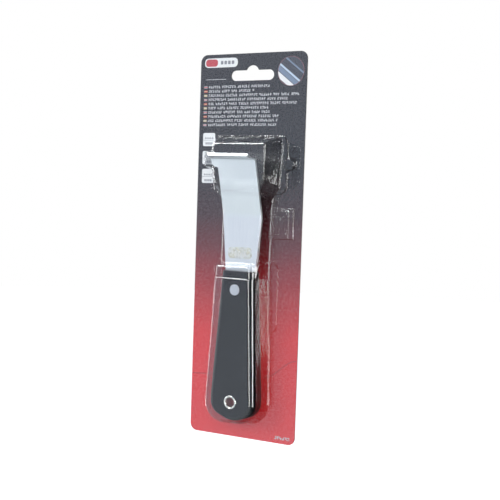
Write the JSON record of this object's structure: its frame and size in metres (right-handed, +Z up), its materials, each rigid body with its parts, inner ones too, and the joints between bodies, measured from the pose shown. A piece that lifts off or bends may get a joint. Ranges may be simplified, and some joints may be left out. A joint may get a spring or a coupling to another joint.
{
  "type": "window trim hook scraper on a hang card",
  "caption": "Cranked steel hook scraper with a riveted black handle, carded under a clear lift-off blister with a euro slot.",
  "frame": {"origin": "centre of the euro slot's bar, on the card's front face", "axes": "+Z up the hanging card, +X to the right as seen from the front, -Y out of the printed front"},
  "size_m": [0.08, 0.026, 0.254],
  "materials": {
    "printed_card": "printed, varnished, black fading to red",
    "clear_sheet": "clear glossy thermoformed plastic",
    "blade_steel": "satin ground",
    "handle_plastic": "glossy black",
    "rivet_metal": "satin",
    "eyelet_nickel": "bright nickel"
  },
  "bodies": {
    "card": {"backing_card": "printed_card"},
    "tool": {"blade": "blade_steel", "handle_scale_front": "handle_plastic", "handle_scale_back": "handle_plastic", "rivet_cap": "rivet_metal", "rivet_pin": "rivet_metal", "eyelet_tube": "eyelet_nickel", "eyelet_washer": "eyelet_nickel"},
    "blister": {"blister": "clear_sheet"}
  },
  "joints": [
    {"name": "tool_lift", "type": "slide", "parent": "card", "child": "tool", "axis": [0, -1, 0], "range_m": [0, 0.06]},
    {"name": "blister_lift", "type": "slide", "parent": "tool", "child": "blister", "axis": [0, -1, 0], "range_m": [0, 0.06]}
  ]
}
